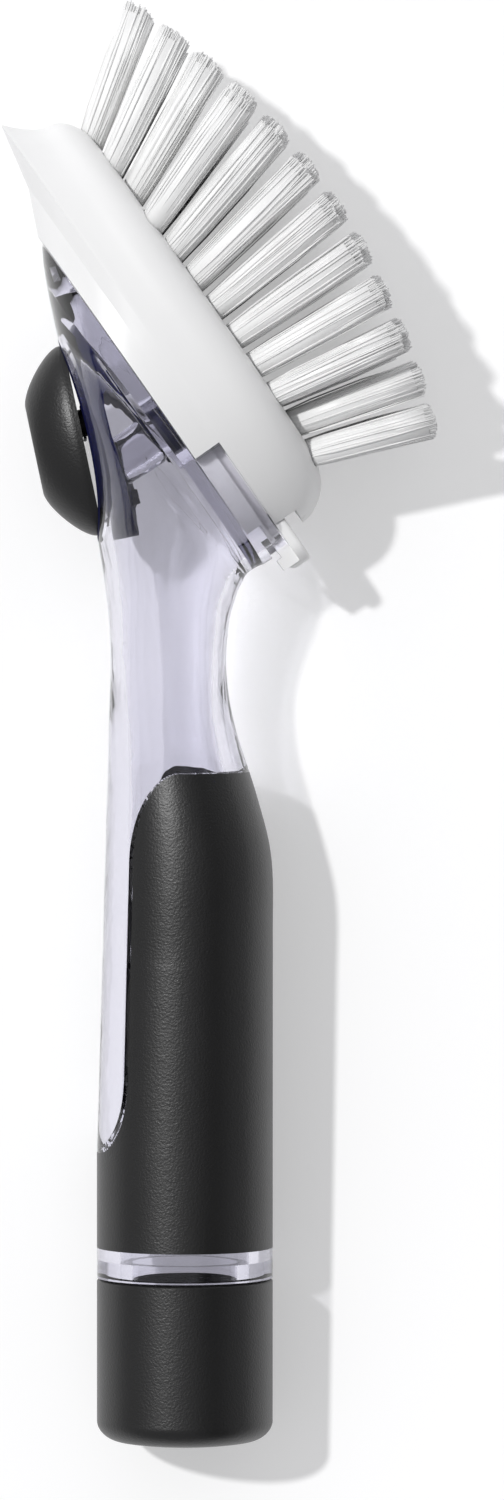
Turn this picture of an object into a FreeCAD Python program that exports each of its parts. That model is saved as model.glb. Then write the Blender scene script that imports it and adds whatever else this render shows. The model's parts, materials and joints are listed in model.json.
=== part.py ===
import FreeCAD
import Part
import math
import os

from FreeCAD import Matrix, Placement, Rotation, Vector

# Soap-dispensing dish wand, in millimetres and degrees.
# It is drawn with its handle along +Y from the end of the cap, its bristles towards +X and its
# near side towards +Z, and then laid down so that it rests on the cap and on the side of the head.
# On the deck, s runs from toe to heel and n points from the deck to the bristles.
# On the button, u runs along the back towards the toe and h points out of the handle.

# Clearances
SEAT_GAP = 0.05
SLIDE_GAP = 0.3

# Handle barrel, grip and neck
GRIP_RADIUS = 16.0
GRIP_THICKNESS = 2.0
SHELL_WALL = 2.3
BAND_HEIGHT = 5.5
LEDGE_THICKNESS = 3.0
WINDOW_FOOT_Y = 53.6
WINDOW_FOOT_RISE = 15.0
WINDOW_EDGE_FOOT_X = -10.4
WINDOW_EDGE_TOP_X = -9.5
WINDOW_CORNER_DROP = 17.0
WINDOW_CORNER_REACH = 8.4
SHOULDER_Y = 103.0
GRIP_TOP_Y = 122.7
NECK_Y = 142.0
NECK_BACK_X = -13.5
NECK_FRONT_X = 7.5
NECK_HALF_WIDTH = 12.7

# Run of the outline from the neck into the head
NECK_BACK_RUN = 14.0
HEAD_BACK_RUN = 40.0
HEAD_BACK_LEAN = 11.9
NECK_FRONT_RUN = 7.5
HEEL_RUN = 4.6
HEEL_FLARE = 35.0

# Cap, spigot and thread
CAP_HEIGHT = 30.5
CAP_GAP = 0.2
CAP_DOME = 1.0
CAP_EDGE_ROUND = 3.6
CAP_LIP_CHAMFER = 0.4
CAP_SKIN = 1.7
CAP_FLOOR = 2.2
CORE_FLOOR = 2.0
SPIGOT_LENGTH = 14.5
SPIGOT_RADIUS = 11.6
SPIGOT_WALL = 2.0
THREAD_PITCH = 4.0
THREAD_TURNS = 1.75
THREAD_DEPTH = 0.85
THREAD_ROOT_WIDTH = 1.8
THREAD_CREST_WIDTH = 0.9
THREAD_START = 2.0
THREAD_SINK = 0.2
GASKET_THICKNESS = 1.5
CORE_RECESS = 0.3

# Deck
DECK_ANGLE = 35.0
DECK_TOE_X = -25.9
DECK_TOE_Y = 218.3
DECK_LENGTH = 70.6
DECK_HALF_WIDTH = 21.0
DECK_RIM = 3.6
DECK_PLATE = 2.4
DECK_TOE_RAKE = 6.6
DECK_SIDE_DRAFT = 0.4
EAR_LENGTH = 22.6
EAR_HEIGHT = 5.1
EAR_WALL = 2.2
EAR_LIP = 0.8
EAR_LIP_HEIGHT = 1.2
NOTCH_FLOOR = 1.6
TONGUE_INNER = 5.0
TONGUE_OUTER = 9.0
TONGUE_POST_START = 5.2
TONGUE_POST_LENGTH = 3.0
TONGUE_REACH = 3.4
TONGUE_UNDER = 1.5
TONGUE_TOP = 2.8

# Soap port and slit valve in the deck
PORT_RADIUS = 2.6
PORT_TUBE_WALL = 1.8
SEAT_RADIUS = 6.2
SEAT_DEPTH = 2.2
SEAT_WALL = 1.2
SEAT_FLOOR = 1.2
VALVE_FLANGE = 0.9
VALVE_DOME_RADIUS = 3.3
VALVE_DOME_HEIGHT = 0.8
SLIT_WIDTH = 0.2
SLIT_LENGTH = 4.4
RETAINER_BELOW_DECK = 0.2

# Button and pump cup
BUTTON_X = -19.4
BUTTON_Y = 182.7
BUTTON_LEAN = 11.9
BUTTON_LENGTH = 35.0
BUTTON_WIDTH = 20.0
BUTTON_RIM_HEIGHT = 8.1
BUTTON_DISH = 1.2
BUTTON_RIM_RADIUS = 7.9
BUTTON_SHOULDER_FULLNESS = 0.3
BUTTON_SKIRT = 1.0
BUTTON_WALL = 2.2
BUTTON_TRAVEL = 2.2
CUP_WALL = 1.0
CUP_FLOOR = 1.2
CUP_ROOM = 1.4
CUP_DECK_GAP = 0.2
CORE_THICKNESS = 2.4
SPRING_U = 3.0
SPRING_RADIUS = 3.1
SPRING_WIRE = 0.6
SPRING_TURNS = 3.5
POST_LENGTH = 1.2
FLAP_U = -12.0
FLAP_RADIUS = 2.8
FLAP_THICKNESS = 0.6
FLAP_STEM_RADIUS = 0.9
FLAP_BULB_RADIUS = 1.4
FLAP_BULB_LENGTH = 1.2
FLAP_HOLES = 4
FLAP_HOLE_RADIUS = 0.6

# Brush block
BLOCK_GAP = 0.2
BLOCK_HALF_WIDTH = 21.5
BLOCK_WAIST = 0.15
BLOCK_HEEL_INSET = 2.2
BLOCK_TOE_S = -17.0
KEEL_TOE_S = -1.6
LIP_ROOT_S = -9.7
LIP_ROOT_N = 3.8
LIP_TIP_S = -21.9
LIP_TIP_N = 6.3
FACE_N = 18.5
RIM_N = 12.5
HEEL_ROUND_N = 9.5
RIM_SIDE_ROUND = 5.3
RIM_TOE_ROUND = 8.0
RIM_HEEL_ROUND = 10.0
FLARE_POWER = 1.4
TRAY_DEPTH_N = 11.0
TRAY_END_WALL = 5.9
TRAY_HALF_WIDTH = 15.6
COLLAR_WALL = 1.6
COLLAR_FOOT_N = 0.5

# Release tab
TAB_HALF_WIDTH = 4.0
TAB_UNDER_N = 3.0
TAB_TOP_N = 7.4
TAB_OVERHANG = 3.8
TAB_LEVER = 18.4
TAB_PIVOT_N = 5.2
TAB_PIVOT_RADIUS = 1.6
TAB_TAIL = 2.2
TAB_TIP_ROUND = 1.6
TAB_PADDLE_LENGTH = 13.9
TAB_PADDLE_HALF_WIDTH = 8.0
TAB_PADDLE_CORNER = 4.0
TAB_PADDLE_EDGE = 0.8
TAB_SIDE_GAP = 0.5
TAB_LIFT = 7.0
TAB_TOOTH_LENGTH = 2.2
TAB_TOOTH_DEPTH = 1.0
TAB_TOOTH_GAP = 0.8
LUG_THICKNESS = 2.2
LUG_RADIUS = 2.1

# Bristles
TUFT_COLUMNS = 12
TUFT_FIRST_S = -10.4
TUFT_LAST_INSET = 11.7
TUFT_ROWS = 5
TUFT_ROW_PITCH = 6.4
TUFT_FIELD_TOE_S = -11.7
TUFT_FIELD_HEEL_INSET = 9.3
TUFT_FIELD_SIDE = 16.8
TUFT_ROOT_RADIUS = 2.4
TUFT_TIP_RADIUS = 3.0
TUFT_HOLE_GAP = 0.25
TUFT_ROOT_DEPTH = 5.0
FAN_TOE = 34.5
FAN_HEEL = 20.0
ROW_LEAN = 4.0
PORT_COLUMN = 8
TIP_ARC_S = 22.3
TIP_ARC_N = 48.1
TIP_ARC_RADIUS = 118.0
TIP_CROWN_RADIUS = 60.0
TIP_STEPS = 8
ANCHOR_LENGTH = 3.0
ANCHOR_WIDTH = 1.3
ANCHOR_THICKNESS = 0.4
ANCHOR_LIFT = 0.6

# Worked out from the sizes above
BAND_BOTTOM_Y = CAP_HEIGHT + CAP_GAP
BAND_TOP_Y = BAND_BOTTOM_Y + BAND_HEIGHT
SPIGOT_END_Y = BAND_BOTTOM_Y - SPIGOT_LENGTH
MOUTH_RADIUS = SPIGOT_RADIUS - SPIGOT_WALL
CORE_RADIUS = GRIP_RADIUS - CAP_SKIN
CAP_BORE = SPIGOT_RADIUS + THREAD_DEPTH + SLIDE_GAP
TUFT_LAST_S = DECK_LENGTH - TUFT_LAST_INSET
TUFT_PITCH = (TUFT_LAST_S - TUFT_FIRST_S) / (TUFT_COLUMNS - 1)
PORT_S = TUFT_FIRST_S + PORT_COLUMN * TUFT_PITCH
BLOCK_CENTRE_S = DECK_LENGTH / 2
BLOCK_HEEL_S = DECK_LENGTH - BLOCK_HEEL_INSET
TRAY_HALF_LENGTH = BLOCK_CENTRE_S - TRAY_END_WALL
EAR_START = DECK_LENGTH - EAR_LENGTH
TAB_TIP_S = DECK_LENGTH + TAB_OVERHANG
TAB_PIVOT_S = TAB_TIP_S - TAB_LEVER
TAB_TOOTH_S = DECK_LENGTH + TAB_TOOTH_GAP
TAB_PADDLE_S = TAB_TIP_S - TAB_PADDLE_LENGTH
TUFT_HOLE_RADIUS = TUFT_ROOT_RADIUS + TUFT_HOLE_GAP
BUTTON_ASPECT = BUTTON_WIDTH / BUTTON_LENGTH
CUP_DEPTH = BUTTON_SKIRT + BUTTON_TRAVEL + POST_LENGTH + CUP_ROOM + CUP_FLOOR

# Sampling of the smooth outlines, and a reach that passes right through the part
OUTLINE_POINTS = 24
SHOULDER_STEPS = 5
LEAD_STEPS = 2
HEAD_STEPS = 6
FLARE_SECTIONS = 6
RIM_SECTION_TURNS = (20, 40, 58, 75, 90)
RESTING_STEPS = 3
REACH = 150.0
QUARTER_ARC = 0.5523
BEND_Y = SHOULDER_Y - LEAD_STEPS * (NECK_Y - SHOULDER_Y) / SHOULDER_STEPS


def spread(first, last, count):
    """Even steps from first to last."""
    return [first + (last - first) * k / (count - 1) for k in range(count)]


def ease(share):
    """Smooth step from 0 to 1."""
    share = min(max(share, 0.0), 1.0)
    return share * share * (3.0 - 2.0 * share)


def bezier(start, start_handle, end_handle, end, share):
    """Point of a cubic curve between two ends with their handles."""
    rest = 1.0 - share
    return (
        start * rest**3
        + start_handle * (3 * share * rest**2)
        + end_handle * (3 * share**2 * rest)
        + end * share**3
    )


def frame_at(origin, x_axis, z_axis):
    """Placement of a local frame from its origin, x axis and z axis."""
    y_axis = z_axis.cross(x_axis)
    rows = []
    for k in range(3):
        rows += [x_axis[k], y_axis[k], z_axis[k], origin[k]]
    return Placement(Matrix(*rows, 0, 0, 0, 1))


def deck_frame():
    """Local x is s, local z is n."""
    angle = math.radians(DECK_ANGLE)
    along = Vector(math.sin(angle), -math.cos(angle), 0)
    out = Vector(math.cos(angle), math.sin(angle), 0)
    return frame_at(Vector(DECK_TOE_X, DECK_TOE_Y, 0), along, out)


def button_frame():
    """Local x is u, local z is h."""
    angle = math.radians(BUTTON_LEAN)
    along = Vector(-math.sin(angle), math.cos(angle), 0)
    out = Vector(-math.cos(angle), -math.sin(angle), 0)
    return frame_at(Vector(BUTTON_X, BUTTON_Y, 0), along, out)


def place(shape, placement):
    """Copy of a shape moved by a placement."""
    moved = shape.copy()
    moved.Placement = placement.multiply(moved.Placement)
    return moved


def box(frame, x_span, y_span, z_span):
    """Box between local limits, placed in a frame."""
    size = [span[1] - span[0] for span in (x_span, y_span, z_span)]
    corner = Vector(x_span[0], y_span[0], z_span[0])
    return place(Part.makeBox(size[0], size[1], size[2], corner), frame)


def rod(frame, x, y, z_span, radius):
    """Cylinder along a frame's local z."""
    height = z_span[1] - z_span[0]
    return place(Part.makeCylinder(radius, height, Vector(x, y, z_span[0])), frame)


def closed_curve(points):
    """Smooth closed wire through points."""
    curve = Part.BSplineCurve()
    curve.interpolate(Points=points, PeriodicFlag=True)
    return Part.Wire([curve.toShape()])


def oval(centre, half_x, half_y):
    """Closed curve with two half axes given as vectors."""
    turn = 2 * math.pi / OUTLINE_POINTS
    return closed_curve(
        [
            centre + half_x * math.cos(k * turn) + half_y * math.sin(k * turn)
            for k in range(OUTLINE_POINTS)
        ]
    )


def prism(wire, direction):
    """Solid swept straight from a closed flat wire."""
    return Part.Face(wire).extrude(direction)


def local_oval_prism(frame, half_x, half_y, z_span):
    """Oval column along a frame's local z."""
    wire = oval(Vector(0, 0, z_span[0]), Vector(half_x, 0, 0), Vector(0, half_y, 0))
    return place(prism(wire, Vector(0, 0, z_span[1] - z_span[0])), frame)


def quarter(start, corner, end, fullness=QUARTER_ARC):
    """Rounded corner: a curve that leaves towards the corner and arrives from it."""
    curve = Part.BezierCurve()
    curve.setPoles(
        [start, start + (corner - start) * fullness, end + (corner - end) * fullness, end]
    )
    return curve.toShape()


def line(start, end):
    """Straight edge."""
    return Part.LineSegment(start, end).toShape()


def ring(inner, outer, y_span):
    """Tube about the handle axis."""
    axis = Vector(0, 1, 0)
    base = Vector(0, y_span[0], 0)
    height = y_span[1] - y_span[0]
    body = Part.makeCylinder(outer, height, base, axis)
    return body.cut(Part.makeCylinder(inner, height, base, axis))


def only_solid(shape):
    """The single solid of a shape."""
    solids = shape.Solids
    if len(solids) != 1:
        raise ValueError(f"expected one solid, found {len(solids)}")
    return solids[0]


def handle_stations(start_y):
    """Sections of the handle's outside, each with its back point, front point and half width."""
    stations = []
    for y in (start_y, WINDOW_FOOT_Y):
        stations.append((Vector(-GRIP_RADIUS, y, 0), Vector(GRIP_RADIUS, y, 0), GRIP_RADIUS))
    for y in spread(BEND_Y, NECK_Y, LEAD_STEPS + SHOULDER_STEPS + 1):
        lean = (y - WINDOW_FOOT_Y) / (NECK_Y - WINDOW_FOOT_Y)
        drop = ease((y - SHOULDER_Y) / (NECK_Y - SHOULDER_Y))
        back = Vector(-GRIP_RADIUS + lean * (NECK_BACK_X + GRIP_RADIUS), y, 0)
        front = Vector(GRIP_RADIUS + drop * (NECK_FRONT_X - GRIP_RADIUS), y, 0)
        stations.append((back, front, GRIP_RADIUS + drop * (NECK_HALF_WIDTH - GRIP_RADIUS)))
    deck = deck_frame()
    low_back = deck.multVec(Vector(DECK_TOE_RAKE, 0, -DECK_RIM))
    low_front = deck.multVec(Vector(DECK_LENGTH - DECK_SIDE_DRAFT, 0, -DECK_RIM))
    low_half = DECK_HALF_WIDTH - DECK_SIDE_DRAFT
    lean = math.radians(HEAD_BACK_LEAN)
    flare = math.radians(HEEL_FLARE)
    neck_back = Vector(NECK_BACK_X, NECK_Y, 0)
    neck_front = Vector(NECK_FRONT_X, NECK_Y, 0)
    back_handle = low_back + Vector(math.sin(lean), -math.cos(lean), 0) * HEAD_BACK_RUN
    front_handle = low_front - Vector(math.sin(flare), math.cos(flare), 0) * HEEL_RUN
    for share in spread(0.0, 1.0, HEAD_STEPS + 1)[1:-1]:
        back = bezier(neck_back, neck_back + Vector(0, NECK_BACK_RUN, 0), back_handle, low_back, share)
        front = bezier(
            neck_front, neck_front + Vector(0, NECK_FRONT_RUN, 0), front_handle, low_front, share
        )
        half = NECK_HALF_WIDTH + ease(share) * (low_half - NECK_HALF_WIDTH)
        stations.append((back, front, half))
    stations.append((low_back, low_front, low_half))
    top_back = deck.multVec(Vector(0, 0, 0))
    top_front = deck.multVec(Vector(DECK_LENGTH, 0, 0))
    stations.append((top_back, top_front, DECK_HALF_WIDTH))
    return stations


def inset_stations(stations, depth_at):
    """The same sections moved in by a depth, measured square to the outline."""
    moved = []
    for k, (back, front, half) in enumerate(stations):
        before = stations[max(k - 1, 0)]
        after = stations[min(k + 1, len(stations) - 1)]
        across = (front - back).normalize()
        back_slant = across.cross((after[0] - before[0]).normalize()).Length
        front_slant = across.cross((after[1] - before[1]).normalize()).Length
        depth = depth_at(back.y)
        moved.append(
            (back + across * (depth / back_slant), front - across * (depth / front_slant), half - depth)
        )
    return moved


def station_wire(station):
    """Closed oval of one section."""
    back, front, half = station
    return oval((back + front) * 0.5, (front - back) * 0.5, Vector(0, 0, half))


def handle_loft(stations):
    """Solid through sections: straight along the barrel, smooth from the bend on."""
    straight = [station_wire(station) for station in stations if station[0].y < BEND_Y + SEAT_GAP]
    bent = [station_wire(station) for station in stations if station[0].y > BEND_Y - SEAT_GAP]
    return Part.makeLoft(straight, True, True).fuse(Part.makeLoft(bent, True, False))


def cavity_depth(y):
    """Depth of the soap space under the outside: sleeve and wall below, wall alone above."""
    share = min(max((NECK_Y - y) / (NECK_Y - GRIP_TOP_Y), 0.0), 1.0)
    return SHELL_WALL + GRIP_THICKNESS * share


def envelope():
    """Outside of handle, head shell and deck as one solid."""
    return handle_loft(handle_stations(BAND_BOTTOM_Y))


def cavity_stations():
    """Sections of the soap space, up to the underside of the deck's rim."""
    stations = handle_stations(BAND_BOTTOM_Y + LEDGE_THICKNESS)
    return inset_stations(stations, cavity_depth)[:-1]


def grip_cutter():
    """Everything of the barrel that the sleeve takes, open at the back for the window."""
    far_x = GRIP_RADIUS + REACH
    top = Vector(far_x, GRIP_TOP_Y, 0)
    corner_top = Vector(WINDOW_EDGE_TOP_X + WINDOW_CORNER_REACH, GRIP_TOP_Y, 0)
    edge_top = Vector(WINDOW_EDGE_TOP_X, GRIP_TOP_Y - WINDOW_CORNER_DROP, 0)
    edge_foot = Vector(WINDOW_EDGE_FOOT_X, WINDOW_FOOT_Y + WINDOW_FOOT_RISE, 0)
    foot = Vector(-GRIP_RADIUS, WINDOW_FOOT_Y, 0)
    outside = Vector(-far_x, WINDOW_FOOT_Y, 0)
    low_back = Vector(-far_x, BAND_TOP_Y, 0)
    low_front = Vector(far_x, BAND_TOP_Y, 0)
    edges = [
        line(top, corner_top),
        quarter(corner_top, Vector(WINDOW_EDGE_TOP_X, GRIP_TOP_Y, 0), edge_top),
        line(edge_top, edge_foot),
        quarter(edge_foot, Vector(WINDOW_EDGE_FOOT_X, WINDOW_FOOT_Y, 0), foot),
        line(foot, outside),
        line(outside, low_back),
        line(low_back, low_front),
        line(low_front, top),
    ]
    face = Part.Face(Part.Wire(edges))
    face.translate(Vector(0, 0, -REACH))
    region = face.extrude(Vector(0, 0, 2 * REACH))
    barrel = [station for station in handle_stations(BAND_BOTTOM_Y) if station[0].y <= NECK_Y]
    core = handle_loft(inset_stations(barrel, lambda y: GRIP_THICKNESS))
    return region.cut(core)


def helical_thread(root, crest, start_y):
    """One thread ridge about the handle axis, from its root radius to its crest radius."""
    helix = Part.makeHelix(THREAD_PITCH, THREAD_PITCH * THREAD_TURNS, root)
    half_root = THREAD_ROOT_WIDTH / 2
    half_crest = THREAD_CREST_WIDTH / 2
    corners = [
        Vector(root, 0, -half_root),
        Vector(crest, 0, -half_crest),
        Vector(crest, 0, half_crest),
        Vector(root, 0, half_root),
        Vector(root, 0, -half_root),
    ]
    ridge = Part.Wire(helix).makePipeShell([Part.makePolygon(corners)], True, True)
    ridge = Part.Solid(ridge) if ridge.ShapeType == "Shell" else ridge
    return place(ridge, Placement(Vector(0, start_y, 0), Rotation(Vector(1, 0, 0), -90)))


def spigot():
    """Threaded neck of the handle that the cap screws onto."""
    ledge_top = BAND_BOTTOM_Y + LEDGE_THICKNESS
    tube = ring(MOUTH_RADIUS, SPIGOT_RADIUS, (SPIGOT_END_Y, ledge_top))
    root = SPIGOT_RADIUS - THREAD_SINK
    thread = helical_thread(root, SPIGOT_RADIUS + THREAD_DEPTH, SPIGOT_END_Y + THREAD_START)
    return tube.fuse(thread)


def button_hole(margin):
    """Oval column through the back of the handle that the pump cup sits in."""
    half_u = BUTTON_LENGTH / 2 + SLIDE_GAP + CUP_WALL + margin
    half_v = BUTTON_WIDTH / 2 + SLIDE_GAP + CUP_WALL + margin
    return local_oval_prism(button_frame(), half_u, half_v, (-CUP_DEPTH, REACH))


def above_deck(n):
    """Half space on the bristle side of a level n."""
    return box(deck_frame(), (-REACH, REACH), (-REACH, REACH), (n, n + REACH))


def handle_shell(outside, sleeve_space):
    """Clear handle, neck and head shell."""
    body = outside.cut(above_deck(-DECK_RIM - SEAT_GAP))
    body = body.cut(sleeve_space)
    body = body.cut(handle_loft(cavity_stations()))
    mouth = Part.makeCylinder(
        MOUTH_RADIUS, LEDGE_THICKNESS, Vector(0, BAND_BOTTOM_Y, 0), Vector(0, 1, 0)
    )
    body = body.cut(mouth).fuse(spigot())
    return only_solid(body.cut(button_hole(SEAT_GAP)))


def grip_sleeve(outside, sleeve_space):
    """Soft sleeve, flush with the clear handle."""
    return only_solid(outside.common(sleeve_space))


def ear_rail():
    """Upright rail round the heel of the deck, with an inward lip and a gap for the tab."""
    deck = deck_frame()
    out = deck.Rotation.multVec(Vector(0, 0, 1))
    top_station = handle_stations(BAND_BOTTOM_Y)[-1]

    def column(inset, n_low, n_high):
        back, front, half = top_station
        across = (front - back).normalize()
        station = (back + across * inset, front - across * inset, half - inset)
        wire = station_wire(station)
        wire.translate(out * n_low)
        return prism(wire, out * (n_high - n_low))

    rail = column(0, 0, EAR_HEIGHT).cut(column(EAR_WALL, 0, EAR_HEIGHT))
    lip_low = EAR_HEIGHT - EAR_LIP_HEIGHT
    lip = column(EAR_WALL - SEAT_GAP, lip_low, EAR_HEIGHT)
    lip = lip.cut(column(EAR_WALL + EAR_LIP, lip_low, EAR_HEIGHT))
    rail = rail.fuse(lip).common(box(deck, (EAR_START, REACH), (-REACH, REACH), (0, EAR_HEIGHT)))
    gap_half = TAB_HALF_WIDTH + TAB_SIDE_GAP
    gap = box(deck, (BLOCK_CENTRE_S, REACH), (-gap_half, gap_half), (NOTCH_FLOOR, REACH))
    return rail.cut(gap)


def toe_tongues():
    """Two hooked tongues that hold the toe of the brush block down."""
    deck = deck_frame()
    pieces = []
    for side in (-1, 1):
        width = sorted((side * TONGUE_INNER, side * TONGUE_OUTER))
        post_end = TONGUE_POST_START + TONGUE_POST_LENGTH
        post = box(deck, (TONGUE_POST_START, post_end), width, (0, TONGUE_TOP))
        hook_start = TONGUE_POST_START - TONGUE_REACH
        hook = box(deck, (hook_start, post_end), width, (TONGUE_UNDER, TONGUE_TOP))
        pieces.append(post.fuse(hook))
    return pieces


def head_deck(outside):
    """Clear plate that closes the head shell, with rail, tongues, valve seat and soap tube."""
    deck = deck_frame()
    out = deck.Rotation.multVec(Vector(0, 0, 1))
    body = outside.common(above_deck(-DECK_RIM))
    body = body.cut(prism(station_wire(cavity_stations()[-1]), out * (DECK_RIM - DECK_PLATE)))
    body = body.fuse([ear_rail()] + toe_tongues())
    seat_end = -SEAT_DEPTH - SEAT_FLOOR
    seat = rod(deck, PORT_S, 0, (seat_end, -DECK_PLATE / 2), SEAT_RADIUS + SEAT_WALL)
    tube = rod(deck, PORT_S, 0, (-REACH, seat_end), PORT_RADIUS + PORT_TUBE_WALL)
    cup_side = box(button_frame(), (-REACH, REACH), (-REACH, REACH), (-CUP_DEPTH, REACH))
    body = body.fuse([seat, tube.cut(cup_side)])
    body = body.cut(rod(deck, PORT_S, 0, (-SEAT_DEPTH, REACH), SEAT_RADIUS))
    return only_solid(body.cut(rod(deck, PORT_S, 0, (-REACH, REACH), PORT_RADIUS)))


def outlet_valve():
    """Slit valve: a flange with a low dome and a cross slit."""
    deck = deck_frame()
    flange_top = -SEAT_DEPTH + VALVE_FLANGE
    flange = rod(deck, PORT_S, 0, (-SEAT_DEPTH, flange_top), SEAT_RADIUS - SEAT_GAP)
    dome = rod(deck, PORT_S, 0, (flange_top, flange_top + VALVE_DOME_HEIGHT), VALVE_DOME_RADIUS)
    body = flange.fuse(dome)
    half_long = SLIT_LENGTH / 2
    half_wide = SLIT_WIDTH / 2
    depth = (-REACH, REACH)
    body = body.cut(box(deck, (PORT_S - half_long, PORT_S + half_long), (-half_wide, half_wide), depth))
    body = body.cut(box(deck, (PORT_S - half_wide, PORT_S + half_wide), (-half_long, half_long), depth))
    return only_solid(body)


def valve_retainer():
    """Ring pressed into the seat over the valve's flange."""
    deck = deck_frame()
    span = (-SEAT_DEPTH + VALVE_FLANGE, -RETAINER_BELOW_DECK)
    body = rod(deck, PORT_S, 0, span, SEAT_RADIUS - SEAT_GAP)
    return only_solid(body.cut(rod(deck, PORT_S, 0, span, VALVE_DOME_RADIUS + SLIDE_GAP)))


def pump_cup(outside):
    """Oval cup let into the back of the handle, in which the button travels."""
    button = button_frame()
    bore_u = BUTTON_LENGTH / 2 + SLIDE_GAP
    bore_v = BUTTON_WIDTH / 2 + SLIDE_GAP
    body = button_hole(0).cut(above_deck(-DECK_RIM - CUP_DECK_GAP))
    bore = local_oval_prism(button, bore_u, bore_v, (-CUP_DEPTH + CUP_FLOOR, REACH))
    bore = bore.cut(above_deck(-DECK_RIM - CUP_DECK_GAP - CUP_FLOOR))
    body = body.cut(bore).common(outside)
    body = body.cut(rod(deck_frame(), PORT_S, 0, (-REACH, REACH), PORT_RADIUS))
    floor = (-CUP_DEPTH, -CUP_DEPTH + CUP_FLOOR)
    body = body.cut(rod(button, FLAP_U, 0, floor, FLAP_STEM_RADIUS + SEAT_GAP))
    hole_circle = (FLAP_STEM_RADIUS + FLAP_RADIUS) / 2
    for k in range(FLAP_HOLES):
        turn = 2 * math.pi * k / FLAP_HOLES
        hole_u = FLAP_U + hole_circle * math.cos(turn)
        body = body.cut(rod(button, hole_u, hole_circle * math.sin(turn), floor, FLAP_HOLE_RADIUS))
    return only_solid(body)


def inlet_flap():
    """Mushroom flap that covers the inlet holes from inside the cup."""
    button = button_frame()
    floor = -CUP_DEPTH + CUP_FLOOR
    disc = rod(button, FLAP_U, 0, (floor, floor + FLAP_THICKNESS), FLAP_RADIUS)
    stem = rod(button, FLAP_U, 0, (-CUP_DEPTH, floor), FLAP_STEM_RADIUS)
    bulb = rod(button, FLAP_U, 0, (-CUP_DEPTH - FLAP_BULB_LENGTH, -CUP_DEPTH), FLAP_BULB_RADIUS)
    return only_solid(disc.fuse([stem, bulb]))


def arc_to(start, apex, end):
    """Arc between two points whose tangents meet at an apex as far from one as from the other."""
    middle = (start + end) * 0.5
    half_chord = (end - start).Length / 2
    half_turn = math.acos(half_chord / (apex - start).Length)
    sagitta = half_chord * math.tan(half_turn / 2)
    return Part.Arc(start, middle + (apex - middle).normalize() * sagitta, end).toShape()


def coil_point(radius, rise, step):
    """Point and direction of a coil about z after some quarter turns."""
    turn = step * math.pi / 2
    direction = Vector(-radius * math.sin(turn), radius * math.cos(turn), rise * 2 / math.pi)
    return Vector(radius * math.cos(turn), radius * math.sin(turn), rise * step), direction.normalize()


def coil_path(radius, height, turns):
    """Coil of tangent arcs about z, two to each quarter turn."""
    steps = round(turns * 4)
    rise = height / steps
    edges = []
    for step in range(steps):
        start, leave = coil_point(radius, rise, step)
        end, arrive = coil_point(radius, rise, step + 1)
        chord = end - start
        spread_out = 2 - 2 * leave.dot(arrive)
        along = chord.dot(leave + arrive)
        leg = (math.sqrt(along**2 + spread_out * chord.dot(chord)) - along) / spread_out
        first_apex = start + leave * leg
        last_apex = end - arrive * leg
        joint = (first_apex + last_apex) * 0.5
        edges += [arc_to(start, first_apex, joint), arc_to(joint, last_apex, end)]
    return Part.Wire(edges)


def return_spring():
    """Compression spring between the cup's floor and the button's core."""
    low = -CUP_DEPTH + CUP_FLOOR + SPRING_WIRE / 2
    high = -BUTTON_SKIRT - SPRING_WIRE / 2
    path = coil_path(SPRING_RADIUS, high - low, SPRING_TURNS)
    start, direction = coil_point(SPRING_RADIUS, (high - low) / (SPRING_TURNS * 4), 0)
    section = Part.Wire([Part.Circle(start, direction, SPRING_WIRE / 2).toShape()])
    coil = path.makePipeShell([section], True, False)
    coil = Part.Solid(coil) if coil.ShapeType == "Shell" else coil
    coil.translate(Vector(SPRING_U, 0, low))
    return only_solid(place(coil, button_frame()))


def turned_oval(edges):
    """Solid of revolution about the button's h axis, narrowed to the button's width."""
    face = Part.Face(Part.Wire(edges))
    body = face.revolve(Vector(0, 0, 0), Vector(0, 0, 1), 360)
    narrow = Matrix()
    narrow.scale(1.0, BUTTON_ASPECT, 1.0)
    return place(body.transformGeometry(narrow), button_frame())


def button_pocket_corners(gap, roof):
    """Outline of the space inside the soft button up to a roof height, drawn in by a gap."""
    foot = BUTTON_LENGTH / 2 - BUTTON_WALL - gap
    return [
        Vector(0, 0, roof),
        Vector(foot - BUTTON_WALL, 0, roof),
        Vector(foot, 0, -BUTTON_SKIRT),
    ]


def button_cap():
    """Soft oval button with a thumb dish, hollow underneath."""
    half = BUTTON_LENGTH / 2
    rim = BUTTON_RIM_HEIGHT
    dish = Vector(0, 0, rim - BUTTON_DISH)
    skirt_top = Vector(half, 0, 0)
    skirt_end = Vector(half, 0, -BUTTON_SKIRT)
    rim_top = Vector(BUTTON_RIM_RADIUS, 0, rim)
    dish_edge = Part.BezierCurve()
    dish_edge.setPoles(
        [
            dish,
            Vector(BUTTON_RIM_RADIUS / 2, 0, rim - BUTTON_DISH),
            Vector(BUTTON_RIM_RADIUS / 2, 0, rim),
            rim_top,
        ]
    )
    roof, roof_edge, foot = button_pocket_corners(0, rim - BUTTON_DISH - 2 * BUTTON_WALL)
    edges = [
        dish_edge.toShape(),
        quarter(rim_top, Vector(half, 0, rim), skirt_top, BUTTON_SHOULDER_FULLNESS),
        line(skirt_top, skirt_end),
        line(skirt_end, foot),
        line(foot, roof_edge),
        line(roof_edge, roof),
        line(roof, dish),
    ]
    return only_solid(turned_oval(edges))


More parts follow.
